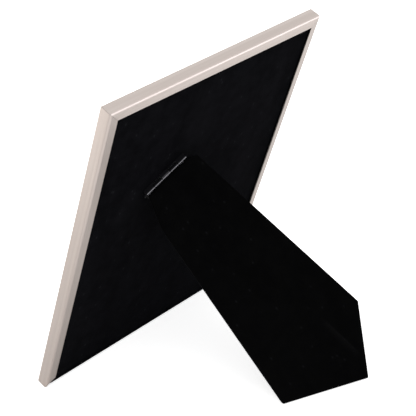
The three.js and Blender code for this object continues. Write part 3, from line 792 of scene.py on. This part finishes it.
def panel_columns():
    """Where the panel cover's columns of vertices lie, from side to side."""
    count = round(2 * HEM_WHOLE_TO / VELVET_CELL)
    middle = [-HEM_WHOLE_TO + 2 * HEM_WHOLE_TO * i / count for i in range(count + 1)]
    return [-PANEL_HALF_WIDTH, -HEM_NOTHING_FROM, *middle, HEM_NOTHING_FROM, PANEL_HALF_WIDTH]


def hem_share(x):
    """How much of the hem's rise there is at a column: all of it between the rails, none beside them."""
    return min(1.0, max(0.0, (HEM_NOTHING_FROM - abs(x)) / (HEM_NOTHING_FROM - HEM_WHOLE_TO)))


def board_rivet_places():
    """The board's rivets as seen from behind, in millimetres."""
    turn = REAR.inverted() @ HINGE
    return [(turn @ Vector((x * MM, y * MM, 0)) / MM).to_2d() for x, y in BOARD_RIVETS]


def make_panel_cover(material):
    """Velvet over the back panel, turned round its bottom edge."""
    profile, rows = hem_profile()
    columns = panel_columns()
    bm = bmesh.new()
    grid = []
    for row, (y, z, share) in enumerate(profile):
        line = []
        for x in columns:
            inside = 0 < row < rows and abs(x) < HEM_NOTHING_FROM
            lift = wander((x, y), PANEL_SEED) if inside else 0
            line.append(bm.verts.new((x, y, z + HEM_RISE * share * hem_share(x) + lift)))
        grid.append(line)
    for above, below in zip(grid, grid[1:]):
        for i in range(len(columns) - 1):
            bm.faces.new((above[i], below[i], below[i + 1], above[i + 1]))
    without_holes(bm, board_rivet_places(), RIVET_CLEARANCE)
    in_metres(bm)
    cover = thicken(object_from(bm, "panel_cover", REAR), VELVET_THICKNESS - VELVET_WANDER)
    cover.data.materials.append(material)
    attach(cover, "back_panel")
    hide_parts("panel_velvet")


def strength_by_ray(s, base, seen, mirrored):
    """A light strength, with more for camera rays and for the rays that metal and glass send on."""
    path = s.add("LightPath").outputs
    sent_on = s.larger(path["Is Glossy Ray"], path["Is Transmission Ray"])
    added = s.plus(s.times(path["Is Camera Ray"], seen), s.times(sent_on, mirrored))
    return s.plus(added, base)


def make_floor():
    """A pale floor that also glows a little where it is seen, so that it shows white; in metal and glass
    its glow fades out near the frame's foot, a painted shade.
    """
    s = Shader("floor")
    colour = (FLOOR_COLOUR, FLOOR_COLOUR, FLOOR_COLOUR, 1.0)
    lit = s.add("BsdfDiffuse", {"Color": colour}).outputs["BSDF"]
    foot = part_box("bottom_rail")[0][1]
    behind = s.minus(s.add("SeparateXYZ", {0: s.here()}).outputs["Y"], foot)
    # The glow in metal and glass fades out towards the frame's foot: painted shade.
    mirrored_behind = s.between(behind, 0.0, FLOOR_PAINTED_SHADE_BEHIND, 0.0, FLOOR_GLOW_IN_METAL)
    mirrored_in_front = s.between(behind, -FLOOR_PAINTED_SHADE_IN_FRONT, 0.0, FLOOR_GLOW_IN_METAL, 0.0)
    strength = strength_by_ray(s, 0.0, FLOOR_GLOW, s.larger(mirrored_behind, mirrored_in_front))
    glow = s.add("Emission", {"Color": WHITE, "Strength": strength}).outputs["Emission"]
    material = s.surface(s.add("AddShader", {0: lit, 1: glow}).outputs["Shader"])
    bm = bmesh.new()
    bmesh.ops.create_grid(bm, x_segments=2, y_segments=2, size=FLOOR_REACH)
    floor = object_from(bm, "floor", Matrix.Identity(4))
    floor.data.materials.append(material)


def make_world():
    """A soft white studio all round, which shows as plain white."""
    world = bpy.data.worlds.new("studio")
    bpy.context.scene.world = world
    world.use_nodes = True
    s = Shader.on(world.node_tree)
    strength = strength_by_ray(s, SKY, SKY_SEEN - SKY, SKY_SEEN - SKY)
    background = s.add("Background", {"Color": WHITE, "Strength": strength})
    output = s.add("OutputWorld")
    s.tree.links.new(background.outputs["Background"], output.inputs["Surface"])


def make_lamp(name, place, target, size, power, colour):
    """A soft box at a place in the row frame, turned to its target. Power is in watts."""
    data = bpy.data.lights.new(name, "AREA")
    data.shape = "RECTANGLE"
    data.size, data.size_y = size
    data.energy = power
    data.color = colour
    lamp = bpy.data.objects.new(name, data)
    bpy.context.scene.collection.objects.link(lamp)
    lamp.location = place
    lamp.rotation_mode = "QUATERNION"
    lamp.rotation_quaternion = (Vector(target) - Vector(place)).to_track_quat("-Z", "Y")


def make_camera():
    data = bpy.data.cameras.new("camera")
    data.sensor_width = SENSOR_WIDTH
    data.lens = CAMERA_FOCAL_PIXELS / PICTURE_PIXELS * SENSOR_WIDTH
    data.clip_start = CLIP_START
    data.clip_end = CLIP_END
    camera = bpy.data.objects.new("camera", data)
    bpy.context.scene.collection.objects.link(camera)
    right, up = Vector(CAMERA_RIGHT), Vector(CAMERA_UP)
    camera.matrix_world = REAR @ axes_matrix(Vector(CAMERA_PLACE) * MM, right, up, right.cross(up))
    bpy.context.scene.camera = camera


def make_all_solder():
    for place, rail, rise in (("top", "top_rail", -1), ("bottom", "bottom_rail", 1)):
        make_solder(f"solder_{place}_right", rail, -1, rise)
        make_solder(f"solder_{place}_left", rail, 1, rise)


def make_velvet():
    make_panel_cover(velvet("board_velvet", UP, RIGHT, BOARD_PILE_AND_SHEEN, BOARD_LINT))
    outline = leg_outline()
    right, up = (LEG.col[i].to_3d() for i in range(2))
    material = velvet("leg_velvet", up, right, LEG_PILE, LEG_LINT, with_painted_streak=True)
    make_leg_cover(outline, material)
    make_leg_facing(outline, material)


make_camera()
finish_cad_nodes()
make_all_solder()
make_velvet()
make_floor()
make_world()
for lamp in LAMPS:
    make_lamp(*lamp)
bpy.context.scene.view_settings.view_transform = "Standard"
